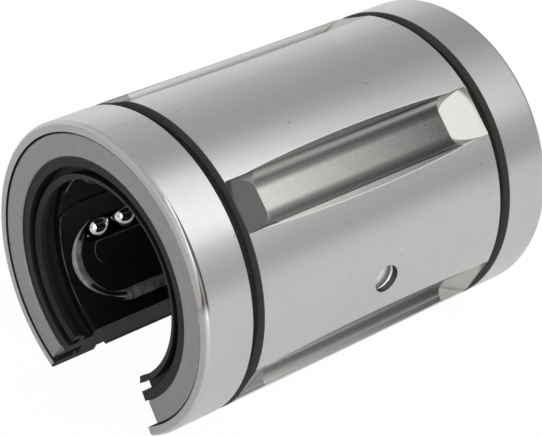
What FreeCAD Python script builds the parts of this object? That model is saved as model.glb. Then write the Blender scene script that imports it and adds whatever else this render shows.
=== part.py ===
import FreeCAD, Part
import math
import os

Vector = FreeCAD.Vector

# Open linear ball bushing for a 25 mm shaft: sleeve, ball cage, ball circuits, end rings and seals.
# Millimetres and degrees. The bore axis is Y, its middle is the origin and the slot faces -Z.
# An angle is measured about Y from +X towards +Z, so the slot's middle is at -90.

# Sleeve
outer_diameter = 40.0
overall_length = 58.0
inner_clocking = 2.3           # degrees that everything in the sleeve sits turned from the slot and recesses
radial_build = 7.5             # from the sleeve's outside to the shaft
slot_half_angle = 30.0
shoulder_radius = 0.6
groove_spacing = 44.1          # over the outer sides of the two retaining-ring grooves
groove_width = 1.85
groove_depth = 1.25
groove_wall = 0.95             # what is left of the sleeve under a groove
ring_seat_step = 0.9           # from the sleeve's bore out to the seat of an end ring
ring_seat_depth = 2.95

# Stamped recesses, one over each loaded ball row
first_recess_angle = -30.15
row_pitch_angle = 72.0
circuit_count = 4
recess_depth = 1.65
recess_end_half_width = 3.16
recess_middle_half_width = 4.16
trough_half_width = 3.35
trough_floor_half_width = 1.6
recess_ramp_length = 4.7

# Balls and their circuits
ball_diameter = 3.969
ball_pitch = 4.3
ball_phase = 1.0               # how far the loaded rows stand towards the rear of mid travel
balls_per_turn = 3
shaft_play = 0.02
race_play = 0.02
return_play = 0.36             # between a ball of a return row and the sleeve's bore
turn_lift = 13.0               # tilt of each turn's plane away from the shaft

# Ball races inside the sleeve
race_half_width = 3.0
race_shoulder = 1.4            # from the ball's centre out to the face of the land that carries the race
race_overrun = 2.7             # how far the land goes on past the end of its row
race_ramp_length = 3.4
race_radius = 2.05
race_bite = 0.1                # how far the land reaches into the sleeve wall

# Fixing hole
fixing_hole_diameter = 3.7
fixing_hole_depth = 1.0
fixing_hole_angle = -4.45

# Cage: its raised forms stand this far from the shaft
cage_play = 0.15               # between the cage and the sleeve's bore
cage_bore_clearance = 0.65
platform_clearance = 0.4
island_clearance = 0.22
ridge_clearance = 0.05
cage_slot_setback = 0.6        # degrees that the cage stops short of each side of the slot
cage_end_wall = 1.3
channel_play = 0.115
cage_chamfer = 0.4
mouth_half_width = 1.6         # of the slot that the loaded balls reach the shaft through
mouth_overrun = 2.5            # how far the slot's straight sides go on past the end of the row
race_pocket_play = 0.12
raised_bite = 0.9              # how far the raised forms reach into the cage's wall
platform_gap = 1.35            # between the platforms of neighbouring circuits
platform_shift = 4.8           # degrees from a circuit's middle to its platform's, towards the loaded row
platform_cutoff = 3.1          # how far the platform's round end would pass the end of the cage
ridge_tube_radius = 1.0
ridge_offset = 2.4             # from a row's middle out to the ridge beside it
ridge_sweep = 150.0            # how far the ridge follows a turn, from the return row
island_half_width = 1.9
island_shift = 2.4             # degrees from a circuit's middle to its island's, towards the loaded row
island_overrun = 1.0           # how far the island goes on past the end of the rows

# End rings
ring_width = 3.15
ring_recess = 0.15             # how far the ring's face stands in from the sleeve's end
ring_chamfer = 0.3
ring_inner_chamfer = 0.15
ring_slot_setback = 4.0        # degrees that the ring stops short of each side of the slot

# Wiper seals
seal_flange_thickness = 1.2
seal_flange_play = 0.1         # between the seal's flange and the sleeve's bore
seal_flange_gap = 0.05         # between the seal's flange and the cage
seal_collar_play = 0.01        # between the collar and the ring's bore
seal_collar_wall = 1.24
seal_collar_recess = 0.4
seal_groove_bottom = 1.9       # depth of the groove between collar and lip, from the sleeve's end
lip_wall = 0.77
lip_play = 0.03
lip_outer_recess = 0.55
lip_inner_recess = 0.87
lip_back_recess = 1.5
seal_web = 0.7                 # between the groove and the hollow behind the lip
seal_hollow_step = 0.1         # from the hollow's wall out to the collar's inside
seal_slot_setback = 0.1        # degrees that the seal stops short of each side of the slot

# Values worked out from the ones above: lengths from the middle, and radii from the outside in
outer_radius = outer_diameter / 2
half_length = overall_length / 2
groove_outer_y = groove_spacing / 2
groove_inner_y = groove_outer_y - groove_width
seat_y = half_length - ring_seat_depth
flange_back_y = seat_y - seal_flange_thickness
cage_half_length = flange_back_y - seal_flange_gap

shaft_radius = outer_radius - radial_build
groove_radius = outer_radius - groove_depth
sleeve_bore_radius = groove_radius - groove_wall
seat_radius = sleeve_bore_radius + ring_seat_step
cage_radius = sleeve_bore_radius - cage_play
ring_bore_radius = seat_radius - ring_width
collar_radius = ring_bore_radius - seal_collar_play
lip_radius = shaft_radius + lip_play
lip_outer_radius = lip_radius + lip_wall

ball_radius = ball_diameter / 2
channel_radius = ball_radius + channel_play
loaded_radius = shaft_radius + ball_radius + shaft_play
return_radius = sleeve_bore_radius - return_play - ball_radius
race_face_radius = loaded_radius + race_shoulder
turn_radius = balls_per_turn * ball_pitch / math.pi
row_chord = 2 * turn_radius
row_room = 2 * (cage_half_length - cage_end_wall - channel_radius - turn_radius)
balls_per_row = math.floor(row_room / ball_pitch)
row_half_length = balls_per_row * ball_pitch / 2
return_offset_angle = math.degrees(
    math.acos((loaded_radius**2 + return_radius**2 - row_chord**2) / (2 * loaded_radius * return_radius))
)
first_row_angle = first_recess_angle + inner_clocking
return_row_angle = first_row_angle + return_offset_angle
circuit_middle_angle = first_row_angle + return_offset_angle / 2
slot_centre = -90.0
reach = 2 * outer_radius       # long enough to cut clear of everything
axis = Vector(0, 1, 0)


def radial(angle):
    return Vector(math.cos(math.radians(angle)), 0, math.sin(math.radians(angle)))


def sideways(angle):
    return Vector(-math.sin(math.radians(angle)), 0, math.cos(math.radians(angle)))


def point(angle, across, along, out):
    """A point given from the bore axis: out along the radius at an angle, across it, and along Y."""
    return radial(angle) * out + sideways(angle) * across + axis * along


# Where the first circuit's loaded row and return row cross the middle plane
loaded_centre = radial(first_row_angle) * loaded_radius
return_centre = radial(return_row_angle) * return_radius


def rod(radius, low, high, centre=Vector(0, 0, 0)):
    return Part.makeCylinder(radius, high - low, centre + axis * low, axis)


def pipe(outer, inner, low, high):
    return rod(outer, low, high).cut(rod(inner, low - 1, high + 1))


def extruded(edges, direction):
    return Part.Face(Part.Wire(edges)).extrude(direction)


def polygon(points):
    return Part.makePolygon(points + points[:1]).Edges


def turned(profile):
    """Revolve a closed outline of (radius, y) pairs about the bore axis."""
    face = Part.Face(Part.Wire(polygon([Vector(r, y, 0) for r, y in profile])))
    return face.revolve(Vector(0, 0, 0), axis, 360)


def slot_wedge(half_angle, clocking=0.0):
    """The sector of space that the shaft support rail stands in."""
    centre = slot_centre + clocking
    corners = [Vector(0, -reach, 0)]
    for offset in (-half_angle, 0, half_angle):
        corners.append(radial(centre + offset) * reach - axis * reach)
    return extruded(polygon(corners), axis * 2 * reach)


def mirrored(shape):
    return shape.mirror(Vector(0, 0, 0), axis)


def at_circuits(shape):
    """Copies of a shape made for the first circuit, one turned into place for each circuit."""
    copies = []
    for circuit in range(circuit_count):
        copy = shape.copy()
        copy.rotate(Vector(0, 0, 0), axis, -row_pitch_angle * circuit)
        copies.append(copy)
    return copies


def turn_frame(start, finish, side):
    """Centre, the direction to the start row, the direction out of the turn, and the axis it goes round."""
    across = start - finish
    across.normalize()
    outward = across.cross(axis)
    if outward.dot(start + finish) < 0:
        outward = outward * -1
    tilt = math.radians(turn_lift)
    ahead = axis * side * math.cos(tilt) + outward * math.sin(tilt)
    centre = (start + finish) * 0.5 + axis * side * row_half_length
    return centre, across, ahead, across.cross(ahead)


def turn(start, finish, side, tube_radius, sweep=180):
    centre, across, ahead, spin = turn_frame(start, finish, side)
    sweep_radius = (start - finish).Length / 2
    circle = Part.Wire([Part.makeCircle(tube_radius, centre + across * sweep_radius, ahead)])
    return Part.Face(circle).revolve(centre, spin, sweep)


def stadium(angle, half_width, straight, low, high):
    """A straight-sided, round-ended pad, seen along the radius at an angle."""
    a = point(angle, half_width, -straight, low)
    b = point(angle, half_width, straight, low)
    rear = point(angle, 0, straight + half_width, low)
    c = point(angle, -half_width, straight, low)
    d = point(angle, -half_width, -straight, low)
    front = point(angle, 0, -straight - half_width, low)
    edges = [
        Part.LineSegment(a, b).toShape(),
        Part.Arc(b, rear, c).toShape(),
        Part.LineSegment(c, d).toShape(),
        Part.Arc(d, front, a).toShape(),
    ]
    return extruded(edges, radial(angle) * (high - low))


def recess():
    """The first recess: a shallow lens-shaped flat, and in it a trough with ramped ends."""
    angle = first_recess_angle
    end_out = math.sqrt(outer_radius**2 - recess_end_half_width**2)
    middle_out = math.sqrt(outer_radius**2 - recess_middle_half_width**2)
    floor_out = outer_radius - recess_depth
    top_out = outer_radius + 1
    groove_y = groove_inner_y
    past_y = groove_inner_y + groove_width / 2
    ramp_y = groove_inner_y - recess_ramp_length
    side = 2 * recess_middle_half_width

    def flat(along, out):
        return point(angle, -side, along, out)

    lens = [
        Part.Arc(flat(-groove_y, end_out), flat(0, middle_out), flat(groove_y, end_out)).toShape(),
        Part.LineSegment(flat(groove_y, end_out), flat(past_y, end_out)).toShape(),
        Part.LineSegment(flat(past_y, end_out), flat(past_y, top_out)).toShape(),
        Part.LineSegment(flat(past_y, top_out), flat(-past_y, top_out)).toShape(),
        Part.LineSegment(flat(-past_y, top_out), flat(-past_y, end_out)).toShape(),
        Part.LineSegment(flat(-past_y, end_out), flat(-groove_y, end_out)).toShape(),
    ]
    lens_cut = extruded(lens, sideways(angle) * 2 * side)

    ramped = polygon([
        flat(-past_y, end_out), flat(-groove_y, end_out), flat(-ramp_y, floor_out),
        flat(ramp_y, floor_out), flat(groove_y, end_out), flat(past_y, end_out),
        flat(past_y, top_out), flat(-past_y, top_out),
    ])
    trough_length = extruded(ramped, sideways(angle) * 2 * side)

    # The trough's wall is an arc that leaves the floor level and rises to the trough's edge.
    wall_run = trough_half_width - trough_floor_half_width
    wall_rise = middle_out - floor_out
    wall_radius = (wall_run**2 + wall_rise**2) / (2 * wall_rise)
    steepness = math.asin(wall_run / wall_radius)
    mid_run = wall_radius * math.sin(steepness / 2)
    mid_rise = wall_radius * (1 - math.cos(steepness / 2))

    def section(across, out):
        return point(angle, across, -past_y, out)

    edges = [Part.LineSegment(section(-trough_floor_half_width, floor_out),
                              section(trough_floor_half_width, floor_out)).toShape()]
    for hand in (1, -1):
        foot = section(hand * trough_floor_half_width, floor_out)
        middle = section(hand * (trough_floor_half_width + mid_run), floor_out + mid_rise)
        edge = section(hand * trough_half_width, middle_out)
        edges.append(Part.Arc(foot, middle, edge).toShape())
        edges.append(Part.LineSegment(edge, section(hand * trough_half_width, top_out)).toShape())
    edges.append(Part.LineSegment(section(trough_half_width, top_out),
                                  section(-trough_half_width, top_out)).toShape())
    trough = extruded(Part.__sortEdges__(edges), axis * 2 * past_y)
    return lens_cut.fuse(trough.common(trough_length))


def race_land():
    """The land inside the sleeve that carries one loaded row, with a ramp at each end."""
    end_y = row_half_length + race_overrun
    flat_y = end_y - race_ramp_length
    root = sleeve_bore_radius + race_bite
    corners = [(-end_y, root), (-flat_y, race_face_radius), (flat_y, race_face_radius), (end_y, root)]
    outline = polygon([point(first_row_angle, -race_half_width, along, out) for along, out in corners])
    return extruded(outline, sideways(first_row_angle) * 2 * race_half_width)


def make_sleeve():
    body = rod(outer_radius, -half_length, half_length)
    rims = [edge for edge in body.Edges if len(edge.Vertexes) == 1]
    body = body.makeFillet(shoulder_radius, rims)
    body = body.cut(rod(sleeve_bore_radius, -reach, reach))
    for side in (-1, 1):
        low, high = sorted((side * groove_inner_y, side * groove_outer_y))
        body = body.cut(pipe(outer_radius + 1, groove_radius, low, high))
        low, high = sorted((side * seat_y, side * (half_length + 1)))
        body = body.cut(rod(seat_radius, low, high))
    for land in at_circuits(race_land()):
        body = body.fuse(land)
    race_out = loaded_radius + ball_radius + race_play - race_radius
    race_end = row_half_length + race_overrun + race_pocket_play
    cuts = [rod(race_radius, -race_end, race_end, radial(first_row_angle) * race_out)]
    for side in (-1, 1):
        cuts.append(turn(loaded_centre, return_centre, side, race_radius))
    cuts.append(recess())
    for cut in cuts:
        for copy in at_circuits(cut):
            body = body.cut(copy)
    mouth = radial(fixing_hole_angle) * (outer_radius - fixing_hole_depth)
    body = body.cut(Part.makeCylinder(fixing_hole_diameter / 2, reach, mouth, radial(fixing_hole_angle)))
    return body.cut(slot_wedge(slot_half_angle))


def channel_section(centre, flank, outward):
    """A round-bottomed slot seen from its end, open outwards."""
    left = centre - flank * channel_radius
    right = centre + flank * channel_radius
    edges = [
        Part.Arc(left, centre - outward * channel_radius, right).toShape(),
        Part.LineSegment(right, right + outward * reach).toShape(),
        Part.LineSegment(right + outward * reach, left + outward * reach).toShape(),
        Part.LineSegment(left + outward * reach, left).toShape(),
    ]
    return Part.Face(Part.Wire(edges))


def ball_channels():
    """The space that the first circuit's balls run in: two rows and two turns, open to the sleeve."""
    spaces = []
    row_end = row_half_length + channel_radius * math.tan(math.radians(turn_lift))
    for centre, angle in ((loaded_centre, first_row_angle), (return_centre, return_row_angle)):
        start = centre - axis * row_end
        spaces.append(channel_section(start, sideways(angle), radial(angle)).extrude(axis * 2 * row_end))
    for side in (-1, 1):
        centre, across, ahead, spin = turn_frame(loaded_centre, return_centre, side)
        outward = spin if spin.dot(centre) > 0 else spin * -1
        section = channel_section(centre + across * turn_radius, across, outward)
        spaces.append(section.revolve(centre, spin, 180))
    return spaces


def race_pocket():
    """Room in the cage for the sleeve's race land."""
    half_width = race_half_width + race_pocket_play
    low = race_face_radius - race_pocket_play
    end_y = row_half_length + race_overrun + race_pocket_play
    corners = [(-half_width, low), (half_width, low), (half_width, reach), (-half_width, reach)]
    outline = polygon([point(first_row_angle, across, -end_y, out) for across, out in corners])
    return extruded(outline, axis * 2 * end_y)


def make_cage():
    bore_radius = shaft_radius + cage_bore_clearance
    root = bore_radius + raised_bite
    end = cage_half_length
    body = turned([
        (bore_radius, cage_chamfer - end), (bore_radius + cage_chamfer, -end), (cage_radius, -end),
        (cage_radius, end), (bore_radius + cage_chamfer, end), (bore_radius, end - cage_chamfer),
    ])

    middle = circuit_middle_angle
    platform_radius = shaft_radius + platform_clearance
    gap_angle = math.degrees(platform_gap / platform_radius)
    half_width = platform_radius * math.sin(math.radians((row_pitch_angle - gap_angle) / 2))
    straight = end - half_width + platform_cutoff
    platform = stadium(middle - platform_shift, half_width, straight, 0, root)
    island = stadium(middle - island_shift, island_half_width, row_half_length + island_overrun, 0, root)
    mouth = stadium(first_row_angle, mouth_half_width, row_half_length + mouth_overrun, 0, loaded_radius)

    # The ridge starts beside the return row and runs on round both turns.
    ridge_out = shaft_radius + ridge_clearance + ridge_tube_radius
    ridge_half_angle = return_offset_angle / 2 + math.degrees(ridge_offset / ridge_out)
    near, far = (radial(middle + hand * ridge_half_angle) * ridge_out for hand in (1, -1))
    ridge = rod(ridge_tube_radius, -row_half_length, row_half_length, near)
    for side in (-1, 1):
        ridge = ridge.fuse(turn(near, far, side, ridge_tube_radius, ridge_sweep))

    raised = ((platform, platform_clearance), (island, island_clearance), (ridge, ridge_clearance))
    for shape, clearance in raised:
        form = shape.common(pipe(root, shaft_radius + clearance, -end, end))
        for copy in at_circuits(form):
            body = body.fuse(copy)
    for cut in [mouth] + ball_channels() + [race_pocket()]:
        for copy in at_circuits(cut):
            body = body.cut(copy)
    return body.cut(slot_wedge(slot_half_angle + cage_slot_setback, inner_clocking))


def make_end_ring():
    """The rear ring; the front one is its mirror image."""
    back = seat_y
    face = half_length - ring_recess
    ring = turned([
        (ring_bore_radius, back), (seat_radius, back), (seat_radius, face - ring_chamfer),
        (seat_radius - ring_chamfer, face), (ring_bore_radius + ring_inner_chamfer, face),
        (ring_bore_radius, face - ring_inner_chamfer),
    ])
    return ring.cut(slot_wedge(slot_half_angle + ring_slot_setback, inner_clocking))


def make_seal():
    """The rear seal: a flange behind the ring, a collar inside it, and a lip round the shaft."""
    flange_radius = sleeve_bore_radius - seal_flange_play
    collar_inner_radius = collar_radius - seal_collar_wall
    hollow_radius = collar_inner_radius - seal_hollow_step
    collar_y = half_length - seal_collar_recess
    groove_y = half_length - seal_groove_bottom
    web_back_y = groove_y - seal_web
    seal = turned([
        (hollow_radius, flange_back_y), (flange_radius, flange_back_y), (flange_radius, seat_y),
        (collar_radius, seat_y), (collar_radius, collar_y), (collar_inner_radius, collar_y),
        (collar_inner_radius, groove_y), (lip_outer_radius, groove_y),
        (lip_outer_radius, half_length - lip_outer_recess), (lip_radius, half_length - lip_inner_recess),
        (lip_radius, half_length - lip_back_recess), (lip_outer_radius, web_back_y),
        (hollow_radius, web_back_y),
    ])
    return seal.cut(slot_wedge(slot_half_angle + seal_slot_setback, inner_clocking))


def balls(centres):
    return Part.makeCompound([Part.makeSphere(ball_radius, centre) for centre in centres])


def row_balls(centre, shift):
    places = [ball_pitch * (i - (balls_per_row - 1) / 2) + shift for i in range(balls_per_row)]
    return balls([centre + axis * place for place in places])


def turn_balls(side):
    centre, across, ahead, spin = turn_frame(loaded_centre, return_centre, side)
    places = []
    for i in range(balls_per_turn):
        angle = math.pi * (i + 0.5) / balls_per_turn + side * ball_phase / turn_radius
        places.append(centre + (across * math.cos(angle) + ahead * math.sin(angle)) * turn_radius)
    return balls(places)


def make_parts():
    parts = {"sleeve": make_sleeve(), "ball_cage": make_cage()}
    parts["rear_end_ring"] = make_end_ring()
    parts["front_end_ring"] = mirrored(parts["rear_end_ring"])
    parts["rear_wiper_seal"] = make_seal()
    parts["front_wiper_seal"] = mirrored(parts["rear_wiper_seal"])
    trains = {
        "loaded_row": row_balls(loaded_centre, ball_phase),
        "return_row": row_balls(return_centre, -ball_phase),
        "front_turn": turn_balls(-1),
        "rear_turn": turn_balls(1),
    }
    for train, shape in trains.items():
        for circuit, copy in enumerate(at_circuits(shape), 1):
            parts[f"circuit_{circuit}_{train}"] = copy
    return parts


os.makedirs("parts", exist_ok=True)
for node, shape in make_parts().items():
    shape.exportStep(f"parts/{node}.step")
    state = "valid" if shape.isValid() else "NOT VALID"
    print(node, len(shape.Solids), "solids", state, round(shape.Volume, 2))
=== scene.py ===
import math
import bpy
from mathutils import Matrix, Vector


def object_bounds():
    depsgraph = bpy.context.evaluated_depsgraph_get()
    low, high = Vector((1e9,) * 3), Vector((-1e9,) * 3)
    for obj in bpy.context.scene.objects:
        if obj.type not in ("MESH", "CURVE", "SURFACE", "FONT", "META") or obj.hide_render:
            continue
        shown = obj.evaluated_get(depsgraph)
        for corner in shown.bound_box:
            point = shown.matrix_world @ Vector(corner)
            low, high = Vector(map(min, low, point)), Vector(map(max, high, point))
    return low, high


# Open linear ball bushing. The bore's axis is Y and the slot opens downwards. Every finish is laid out round
# the bore: in millimetres along it and out from it, and in degrees round it from the top towards +X.
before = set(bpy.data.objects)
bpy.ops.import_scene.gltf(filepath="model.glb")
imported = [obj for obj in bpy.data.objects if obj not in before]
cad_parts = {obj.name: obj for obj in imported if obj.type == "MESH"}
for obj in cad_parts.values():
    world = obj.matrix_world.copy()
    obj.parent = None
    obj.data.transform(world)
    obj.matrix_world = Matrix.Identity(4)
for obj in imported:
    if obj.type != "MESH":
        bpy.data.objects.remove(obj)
cadBox = [list(corner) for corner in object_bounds()]
print("frame loaded:", len(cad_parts), "nodes")


# A node's output. Sums written on it add Math nodes.
class Wire:
    def __init__(self, finish, socket):
        self.finish = finish
        self.socket = socket

    def __add__(self, other):
        return self.finish.sum("ADD", self, other)

    def __radd__(self, other):
        return self.finish.sum("ADD", other, self)

    def __sub__(self, other):
        return self.finish.sum("SUBTRACT", self, other)

    def __rsub__(self, other):
        return self.finish.sum("SUBTRACT", other, self)

    def __mul__(self, other):
        return self.finish.sum("MULTIPLY", self, other)

    def __rmul__(self, other):
        return self.finish.sum("MULTIPLY", other, self)

    def __truediv__(self, other):
        return self.finish.sum("DIVIDE", self, other)

    def __rtruediv__(self, other):
        return self.finish.sum("DIVIDE", other, self)

    def __pow__(self, other):
        return self.finish.sum("POWER", self, other)

    def __rpow__(self, other):
        return self.finish.sum("POWER", other, self)

    def __abs__(self):
        return self.finish.sum("ABSOLUTE", self)


# The node tree of a material or a world, with the few nodes that everything here is made of
class Finish:
    def __init__(self, holder):
        holder.use_nodes = True
        self.holder = holder
        self.tree = holder.node_tree
        self.tree.nodes.clear()

    def node(self, kind, settings=None, sockets=None, output=0):
        made = self.tree.nodes.new(kind)
        for name, value in (settings or {}).items():
            if name == "stops":
                while len(made.color_ramp.elements) < len(value):
                    made.color_ramp.elements.new(0.5)
                for element, (position, color) in zip(made.color_ramp.elements, value):
                    element.position = position
                    element.color = color
            else:
                setattr(made, name, value)
        for name, value in (sockets or {}).items():
            if isinstance(value, Wire):
                self.tree.links.new(value.socket, made.inputs[name])
            else:
                made.inputs[name].default_value = value
        return Wire(self, made.outputs[output]) if made.outputs else None

    def sum(self, operation, *values):
        return self.node("ShaderNodeMath", {"operation": operation}, dict(enumerate(values)))

    # 0 below the edge and 1 above it, with a soft change in between
    def above(self, value, edge, soft=0.02):
        return self.node("ShaderNodeMapRange", {"interpolation_type": "SMOOTHSTEP"},
                         {"Value": value, "From Min": edge - soft / 2, "From Max": edge + soft / 2})

    def below(self, value, edge, soft=0.02):
        return 1 - self.above(value, edge, soft)

    def between(self, value, low, high, soft=0.02):
        return self.above(value, low, soft) * self.below(value, high, soft)

    def paint(self, under, over, mask):
        return self.node("ShaderNodeMix", {"data_type": "RGBA"}, {"Factor": mask, "A": under, "B": over}, 2)

    def vector(self, x, y, z):
        return self.node("ShaderNodeCombineXYZ", None, {"X": x, "Y": y, "Z": z})

    def noise(self, vector, scale=1.0, detail=3.0, roughness=0.5):
        return self.node("ShaderNodeTexNoise", None,
                         {"Vector": vector, "Scale": scale, "Detail": detail, "Roughness": roughness})

    # Streaks that run round the bushing: how fast they change round it and across, then detail and roughness
    def streaks(self, across, mark):
        roundIt, overIt, detail, roughness = mark
        return self.noise(self.vector(self.angle * roundIt, across * overIt, 0.0), 1.0, detail, roughness)

    def bump(self, height, micrometres):
        sockets = {"Height": height, "Strength": 1.0, "Distance": micrometres * 1e-6}
        return self.node("ShaderNodeBump", None, sockets)

    # Places on the bushing: x, y and z in millimetres, the radius, and the angle from the top
    def places(self):
        spot = self.node("ShaderNodeTexCoord", output="Object")
        spot = self.node("ShaderNodeVectorMath", {"operation": "SCALE"}, {0: spot, "Scale": 1000.0})
        self.spot = spot
        self.x, self.y, self.z = (self.node("ShaderNodeSeparateXYZ", None, {0: spot}, axis) for axis in "XYZ")
        self.radius = (self.x * self.x + self.z * self.z) ** 0.5
        self.angle = self.sum("ARCTAN2", self.x, self.z) * math.degrees(1)
        self.along = abs(self.y)

    def surface(self, sockets):
        shader = self.node("ShaderNodeBsdfPrincipled", None, sockets)
        self.node("ShaderNodeOutputMaterial", None, {"Surface": shader})
        return self.holder


def dress(material, nodes):
    for name in nodes:
        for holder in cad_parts[name].material_slots:
            holder.material = material


# Sleeve: ground outside, stamped recesses, blackened grooves, cut faces and inside.
# Each noise gives its scale, detail and roughness.
sleeveLook = {
    # where things are: millimetres, and degrees from the top
    "halfLength": 29.0,
    "outerRadius": 20.0,
    "shoulder": 0.6,
    "grooveInner": 20.2,
    "grooveOuter": 22.05,
    "slotHalfAngle": 30.0,
    "boreHighest": 18.0,
    "seatRadius": 18.72,
    "seatStart": 26.0,
    "holeAngle": 94.45,
    "holeRadius": 1.87,
    "holeFloor": 19.15,
    "recessLowest": 18.1,
    "recessAngle": 48.15,
    "recessPitch": 72,
    "rampStart": 15.5,
    "wallTop": 19.35,
    "litSideLimit": -2,              # recesses to the left of this x are painted lighter, as painted light
    # bare and blackened steel
    "ground": (0.575, 0.575, 0.565, 1),
    "cloud": (0.50, 0.50, 0.49, 1),
    "rim": (0.36, 0.345, 0.345, 1),
    "rimMark": (0.46, 0.44, 0.44, 1),
    # the hole floor colour is a painted reflection
    "holeFloorHighlight": (0.88, 0.88, 0.87, 1),
    "black": (0.014, 0.012, 0.010, 1),
    "dust": (0.07, 0.065, 0.055, 1),
    "pit": (0.16, 0.155, 0.15, 1),
    "pitShare": 0.45,
    # recesses: light at the front end, dark at the rear end, with painted shade on the long walls and upper
    # edges and in the hole, painted light higher up the walls and on the recesses at the left, and the front
    # ramp painted darker as painted shade
    "recess": (0.514, 0.508, 0.492, 1),
    "farRecess": (0.129, 0.127, 0.122, 1),
    "litRecess": (0.52, 0.515, 0.505, 1),
    "ramp": (0.47, 0.46, 0.445, 1),
    "shadedFrontRamp": (0.30, 0.29, 0.285, 1),
    "paintedShade": (0.06, 0.058, 0.055, 1),
    "shadeShare": 0.72,
    "shadeMiddle": 0.4,
    "shadeStart": 4.5,
    "shadeEnd": 8.3,
    "edgeShadeStart": 19.7,
    "edgeShadeShare": 0.8,
    # the dark smear on the front shoulder
    "stain": (0.09, 0.085, 0.08, 1),
    "stainStart": 35,
    "stainEnd": 76,
    "stainPlace": 28.34,
    "stainLean": 0.0077,
    "stainWidth": 0.02,
    "stainSpread": 0.008,
    # roughness and relief
    "groundRoughness": 0.25,
    "recessRoughness": 0.36,
    "rimRoughness": 0.38,
    "blackRoughness": 0.48,
    "blackSheen": 0.2,
    "relief": 6.0,                # micrometres
    "grinding": (0.01, 1.6, 4.0, 0.6),
    "fineGrinding": (0.05, 7.0, 3.0, 0.55),
    "turning": (0.006, 5.0, 4.0, 0.65),
    "cloudNoise": (0.22, 4.0, 0.55),
    "grainNoise": (2.4, 4.0, 0.7),
    "pitNoise": (1.5, 1.0, 0.3),
    "dustNoise": (4.0, 1.0, 0.4),
}


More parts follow.
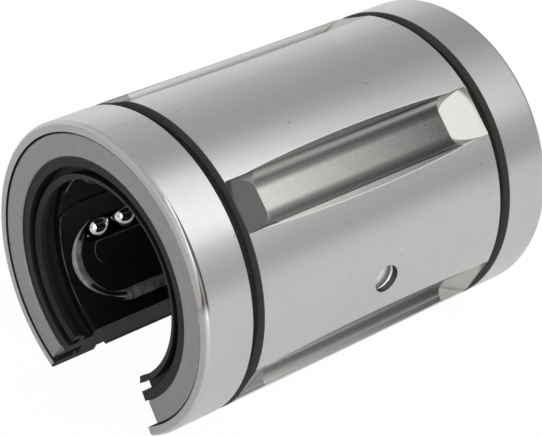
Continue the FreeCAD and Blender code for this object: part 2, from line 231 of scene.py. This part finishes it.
def groundSteel():
    look = sleeveLook
    steel = Finish(bpy.data.materials.new("groundSteel"))
    steel.places()
    along, radius, angle = steel.along, steel.radius, steel.angle

    inGroove = steel.between(along, look["grooveInner"] - 0.005, look["grooveOuter"] + 0.005)
    groove = inGroove * steel.below(radius, look["outerRadius"] - 0.06, 0.04)
    inside = steel.below(radius, look["boreHighest"], 0.05)
    seat = steel.below(radius, look["seatRadius"]) * steel.above(along, look["seatStart"], 0.1)
    seat = seat * steel.below(along, look["halfLength"] - 0.02)
    cut = steel.above(abs(angle), 180 - look["slotHalfAngle"] - 0.12, 0.1)
    black = steel.sum("MAXIMUM", steel.sum("MAXIMUM", groove, inside), steel.sum("MAXIMUM", seat, cut))

    sunken = steel.between(radius, look["recessLowest"], look["outerRadius"] - 0.02)
    sunken = sunken * steel.below(along, look["grooveInner"] - 0.01)
    turn = math.radians(look["holeAngle"])
    aside = steel.x * math.cos(turn) - steel.z * math.sin(turn)
    hole = steel.below((aside * aside + steel.y * steel.y) ** 0.5, look["holeRadius"], 0.04)
    hole = hole * steel.above(steel.x, look["outerRadius"] / 2, 0.1)
    holeFloor = hole * steel.below(radius, look["holeFloor"], 0.1)
    recess = sunken * (1 - hole)
    rim = steel.above(along, look["halfLength"] - 0.06, 0.08)
    shoulder = steel.above(along, look["halfLength"] - look["shoulder"], 0.1) * (1 - rim)
    outside = (1 - recess) * (1 - black) * (1 - rim)

    marks = steel.streaks(steel.y, look["grinding"])
    fineMarks = steel.streaks(steel.y, look["fineGrinding"])
    turning = steel.streaks(radius, look["turning"])
    cloud = steel.noise(steel.spot, *look["cloudNoise"])
    grain = steel.noise(steel.spot, *look["grainNoise"])
    pits = steel.above(steel.noise(steel.spot, *look["pitNoise"]), 0.785, 0.04) * outside
    dust = steel.above(steel.noise(steel.spot, *look["dustNoise"]), 0.72, 0.05) * black

    # Across each recess in degrees from its middle
    across = steel.sum("WRAP", angle - look["recessAngle"], -look["recessPitch"] / 2, look["recessPitch"] / 2)
    fromMiddle = abs(across - look["shadeMiddle"])
    # Painted shade: dark bands on the long sloping walls of each recess
    paintedShade = steel.between(fromMiddle, look["shadeStart"], look["shadeEnd"], 2.4) * look["shadeShare"]
    # Painted light: the walls above the dark bands are painted lighter
    wall = steel.above(fromMiddle, look["shadeEnd"] + 0.2, 1.4) * steel.below(radius, look["wallTop"], 0.2)
    # Painted light and shade by side: the recesses on the right get painted shade on their edges, those on
    # the left are painted lighter
    shadedSide = steel.above(steel.x, look["litSideLimit"], 6)
    # Painted shade along the upper edge of each recess on the right
    edge = recess * steel.above(radius, look["edgeShadeStart"], 0.2) * steel.below(across, 0, 20) * shadedSide
    lengthwise = steel.y / (2 * look["rampStart"]) + 0.5
    stamped = steel.paint(look["recess"], look["farRecess"], lengthwise + grain * 0.4 - 0.2)
    stamped = steel.paint(stamped, look["litRecess"], wall)
    # Painted shade on the recess walls
    stamped = steel.paint(stamped, look["paintedShade"], paintedShade)
    # Painted light: the recesses on the left are painted lighter
    stamped = steel.paint(stamped, look["litRecess"], 1 - shadedSide)
    ramp = recess * steel.above(along, look["rampStart"], 0.15)

    # The smear widens and drifts outwards as it goes down
    past = angle - look["stainStart"]
    off = abs(along - past * look["stainLean"] - look["stainPlace"]) + (cloud - 0.5) * 0.1
    stain = steel.below(off, past * look["stainSpread"] + look["stainWidth"], 0.07) * steel.below(steel.y, 0)
    stain = stain * steel.between(angle, look["stainStart"], look["stainEnd"], 6)

    color = steel.paint(look["ground"], look["cloud"], marks * 0.4 + cloud * 0.7)
    layers = [
        (steel.paint(look["rim"], look["rimMark"], turning), rim),
        (stamped, recess),
        (look["ramp"], ramp),
        # painted shade: the front ramp is painted darker than the rear one
        (look["shadedFrontRamp"], ramp * steel.below(steel.y, 0)),
        # painted shade along the upper recess edges
        (look["paintedShade"], edge * look["edgeShadeShare"]),
        # painted shade on the walls of the hole
        (look["paintedShade"], hole),
        # painted reflection: the hole floor painted light
        (look["holeFloorHighlight"], holeFloor),
        (look["stain"], stain),
        (look["pit"], pits * look["pitShare"]),
        (look["black"], black),
        (look["dust"], dust),
    ]
    for layer, mask in layers:
        color = steel.paint(color, layer, mask)
    roughness = look["groundRoughness"] + marks * 0.06 + cloud * 0.08 + shoulder * 0.06
    for name, mask in (("recess", recess), ("rim", rim), ("black", black)):
        roughness = roughness + mask * (look[name + "Roughness"] - look["groundRoughness"])
    height = fineMarks * outside * 0.5 + turning * rim * 0.8
    height = height + grain * recess * 1.6 + grain * outside * 0.3 + grain * black
    return steel.surface({
        "Base Color": color,
        "Metallic": 1 - black * 0.9,
        "Specular IOR Level": look["blackSheen"],
        "Roughness": roughness,
        "Normal": steel.bump(height - pits * 0.5, look["relief"]),
    })


dress(groundSteel(), ["sleeve"])
print("sleeve dressed")

# End rings: turned steel, duller than the sleeve
ringLook = {
    "base": (0.18, 0.172, 0.17, 1),
    "mark": (0.37, 0.355, 0.352, 1),
    "roughness": 0.40,
    "relief": 14.0,
    "turning": (0.008, 5.0, 4.0, 0.7),
    "mottleNoise": (1.2, 4.0, 0.6),
}


def turnedSteel():
    look = ringLook
    ring = Finish(bpy.data.materials.new("turnedSteel"))
    ring.places()
    marks = ring.streaks(ring.radius, look["turning"])
    mottle = ring.noise(ring.spot, *look["mottleNoise"])
    return ring.surface({
        "Base Color": ring.paint(look["base"], look["mark"], marks * 0.5 + mottle * 0.4),
        "Metallic": 1.0,
        "Roughness": look["roughness"] + marks * 0.1,
        "Normal": ring.bump(marks + mottle * 0.5, look["relief"]),
    })


dress(turnedSteel(), ["front_end_ring", "rear_end_ring"])
print("end rings dressed")

# Wiper seals: dark grey nitrile rubber
sealLook = {
    "base": (0.004, 0.004, 0.0042, 1),
    "bloom": (0.022, 0.021, 0.0215, 1),
    "roughness": 0.42,
    "sheen": 0.18,
    "relief": 8.0,
    "bloomNoise": (0.9, 4.0, 0.6),
    "grainNoise": (7.0, 2.0, 0.5),
}


def nitrileRubber():
    look = sealLook
    rubber = Finish(bpy.data.materials.new("nitrileRubber"))
    rubber.places()
    bloom = rubber.noise(rubber.spot, *look["bloomNoise"])
    grain = rubber.noise(rubber.spot, *look["grainNoise"])
    return rubber.surface({
        "Base Color": rubber.paint(look["base"], look["bloom"], bloom * 0.6),
        "Roughness": look["roughness"] + grain * 0.15,
        "Specular IOR Level": look["sheen"],
        "Normal": rubber.bump(grain, look["relief"]),
    })


dress(nitrileRubber(), ["front_wiper_seal", "rear_wiper_seal"])
print("seals dressed")

# Ball cage: black moulded plastic, with an oily film on the ridges that guide the balls round, and a lighter
# colour on them that is partly wear and partly a painted highlight
cageLook = {
    "crest": 13.1,
    "island": 12.72,
    "base": (0.004, 0.0036, 0.0038, 1),
    "rub": (0.009, 0.008, 0.0085, 1),
    "wearAndHighlight": (0.24, 0.235, 0.23, 1),
    "film": 0.7,
    "roughness": 0.34,
    "filmRoughness": 0.3,
    "sheen": 0.1,
    "relief": 9.0,
    "rubNoise": (0.5, 4.0, 0.6),
    "skinNoise": (5.0, 3.0, 0.6),
}


def mouldedPlastic():
    look = cageLook
    plastic = Finish(bpy.data.materials.new("mouldedPlastic"))
    plastic.places()
    rub = plastic.noise(plastic.spot, *look["rubNoise"])
    skin = plastic.noise(plastic.spot, *look["skinNoise"])
    # Only the rounded ridge gets the wear and painted highlight, so the flat platform and island are left out
    facing = plastic.node("ShaderNodeTexCoord", output="Normal")
    outwards = plastic.vector(plastic.x / plastic.radius, 0.0, plastic.z / plastic.radius)
    product = {"operation": "DOT_PRODUCT"}
    facing = plastic.node("ShaderNodeVectorMath", product, {0: facing, 1: outwards}, "Value")
    flat = plastic.above(abs(facing), 0.95, 0.06) * plastic.above(plastic.radius, look["island"] - 0.04, 0.02)
    crest = plastic.below(plastic.radius, look["crest"], 0.1) * (1 - flat)
    # Wear and painted highlight: a lighter colour on the ridge crest
    wearAndHighlight = crest * plastic.above(rub, 0.45, 0.5)
    color = plastic.paint(look["base"], look["rub"], rub)
    return plastic.surface({
        "Base Color": plastic.paint(color, look["wearAndHighlight"], wearAndHighlight),
        "Roughness": look["roughness"] + rub * 0.12,
        "Specular IOR Level": look["sheen"],
        "Coat Weight": crest * look["film"],
        "Coat Roughness": look["filmRoughness"],
        "Normal": plastic.bump(skin, look["relief"]),
    })


dress(mouldedPlastic(), ["ball_cage"])
print("cage dressed")

# Balls: polished bearing steel with a trace of oil
ballLook = {
    "base": (0.72, 0.72, 0.73, 1),
    "oil": (0.5, 0.49, 0.47, 1),
    "roughness": 0.07,
    "relief": 2.0,
    "filmNoise": (1.1, 3.0, 0.5),
}


def polishedSteel():
    look = ballLook
    ball = Finish(bpy.data.materials.new("polishedSteel"))
    ball.places()
    film = ball.noise(ball.spot, *look["filmNoise"])
    return ball.surface({
        "Base Color": ball.paint(look["base"], look["oil"], film * 0.5),
        "Metallic": 1.0,
        "Roughness": look["roughness"] + film * 0.05,
        "Normal": ball.bump(film, look["relief"]),
    })


dress(polishedSteel(), [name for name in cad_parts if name.endswith(("_row", "_turn"))])
print("balls dressed")

# Studio: a white floor and backdrop, with the sky that the metal mirrors given by its angle round the bore
studio = {
    "floorSize": 4.0,
    "floorWhite": 1.0,
    "floorSeen": 0.975,           # the share of plain white that the camera sees; the rest keeps the shadow
    "floorMirrored": 0.45,        # the same for what the metal mirrors
    # the mirrored sky: degrees from +X towards +Z, and the level there
    "sky": [(-180, 1.0), (-110, 0.6), (-60, 0.75), (-20, 0.9), (4, 0.4), (20, 0.7), (50, 0.75), (80, 0.65),
            (104, 0.5), (140, 0.7), (160, 1.0), (180, 1.15)],
    "rear": (0.16, 0.16, 0.16, 1),  # what the metal mirrors beyond the rear end
    "ambient": 0.7,
}

# Each soft box faces the bushing: its direction, distance and two sides, and its brightness (1 is white).
# The key box stands above, the front box before the front end, and the bore box lights the inside.
softBoxes = {
    "keyBox": {"toward": (0.56, 0.2, 0.8), "reach": 0.5, "sides": (0.54, 0.46), "level": 1.22},
    "frontBox": {"toward": (-0.1, -0.98, 0.0), "reach": 0.6, "sides": (0.16, 0.16), "level": 3.0},
    "boreBox": {"toward": (0.9, -0.42, 0.12), "reach": 0.6, "sides": (0.36, 0.4), "level": 6.0},
}


def makeFloor():
    low, high = (Vector(corner) for corner in cadBox)
    middle = (low + high) / 2
    size = studio["floorSize"] / 2
    mesh = bpy.data.meshes.new("floor")
    corners = [(-size, -size), (size, -size), (size, size), (-size, size)]
    mesh.from_pydata([(middle.x + x, middle.y + y, low.z) for x, y in corners], [], [(0, 1, 2, 3)])
    floor = bpy.data.objects.new("floor", mesh)
    bpy.context.scene.collection.objects.link(floor)
    paper = Finish(bpy.data.materials.new("floorPaper"))
    seen = paper.node("ShaderNodeLightPath", output="Is Camera Ray")
    glossy = paper.node("ShaderNodeLightPath", output="Is Glossy Ray")
    through = paper.node("ShaderNodeLightPath", output="Is Transmission Ray")
    grain = paper.noise(paper.node("ShaderNodeTexCoord", output="Object"), 400.0, 2.0, 0.5)
    matte = paper.node("ShaderNodeBsdfDiffuse", None, {"Color": (0.9, 0.9, 0.9, 1), "Roughness": 0.5,
                                                       "Normal": paper.bump(grain, 20.0)})
    glow = paper.node("ShaderNodeEmission", None, {"Color": (1, 1, 1, 1), "Strength": studio["floorWhite"]})
    mirrored = paper.sum("MAXIMUM", glossy, through) * studio["floorMirrored"]
    share = paper.sum("MAXIMUM", seen * studio["floorSeen"], mirrored)
    mixed = paper.node("ShaderNodeMixShader", None, {"Fac": share, 1: matte, 2: glow})
    paper.node("ShaderNodeOutputMaterial", None, {"Surface": mixed})
    mesh.materials.append(paper.holder)


def makeSky():
    sky = Finish(bpy.data.worlds.new("studioSky"))
    bpy.context.scene.world = sky.holder
    toward = sky.node("ShaderNodeTexCoord", output="Generated")
    x, z = (sky.node("ShaderNodeSeparateXYZ", None, {0: toward}, axis) for axis in "XZ")
    turn = sky.sum("ARCTAN2", z, x) / (2 * math.pi) + 0.5
    stops = [((angle + 180) / 360, (level, level, level, 1)) for angle, level in studio["sky"]]
    bands = sky.node("ShaderNodeValToRGB", {"stops": stops}, {"Fac": turn})
    rear = sky.above(sky.node("ShaderNodeSeparateXYZ", None, {0: toward}, "Y"), 0.78, 0.3)
    bands = sky.paint(bands, studio["rear"], rear)
    seen = sky.node("ShaderNodeLightPath", output="Is Camera Ray")
    glossy = sky.node("ShaderNodeLightPath", output="Is Glossy Ray")
    level = sky.paint((studio["ambient"],) * 3 + (1,), bands, glossy)
    level = sky.paint(level, (1, 1, 1, 1), seen)
    back = sky.node("ShaderNodeBackground", None, {"Color": level, "Strength": 1.0})
    sky.node("ShaderNodeOutputWorld", None, {"Surface": back})


def makeSoftBox(name, box):
    lamp = bpy.data.lights.new(name, "AREA")
    lamp.shape = "RECTANGLE"
    lamp.size, lamp.size_y = box["sides"]
    lamp.energy = box["level"] * math.pi * lamp.size * lamp.size_y
    holder = bpy.data.objects.new(name, lamp)
    toward = Vector(box["toward"]).normalized()
    turn = toward.to_track_quat("Z", "Y").to_matrix().to_4x4()
    holder.matrix_world = Matrix.Translation(toward * box["reach"]) @ turn
    bpy.context.scene.collection.objects.link(holder)


makeFloor()
makeSky()
for name, box in softBoxes.items():
    makeSoftBox(name, box)
print("studio lit")

# Camera, looking at the front end from the right and above
view = {
    "azimuth": 46.919,
    "elevation": 29.026,
    "roll": 1.730,
    "distance": 0.27753,
    "slide": (-0.001274, -0.001693),   # sideways and up, in the camera's own directions
    "lens": 144.23,
    "sensor": 36.0,
    "shift": (0.00747, 0.00466),
}


def makeCamera():
    camera = bpy.data.cameras.new("camera")
    camera.lens = view["lens"]
    camera.sensor_width = view["sensor"]
    camera.shift_x, camera.shift_y = view["shift"]
    camera.clip_start = 0.01
    azimuth, elevation = math.radians(view["azimuth"]), math.radians(view["elevation"])
    flat = math.cos(elevation)
    back = Vector((math.sin(azimuth) * flat, -math.cos(azimuth) * flat, math.sin(elevation)))
    right = Vector((math.cos(azimuth), math.sin(azimuth), 0))
    up = back.cross(right)
    roll = math.radians(view["roll"])
    right, up = right * math.cos(roll) + up * math.sin(roll), up * math.cos(roll) - right * math.sin(roll)
    place = back * view["distance"] + right * view["slide"][0] + up * view["slide"][1]
    holder = bpy.data.objects.new("camera", camera)
    holder.matrix_world = Matrix.Translation(place) @ Matrix((right, up, back)).transposed().to_4x4()
    bpy.context.scene.collection.objects.link(holder)
    bpy.context.scene.camera = holder


makeCamera()
bpy.context.scene.view_settings.view_transform = "Standard"
print("camera set")
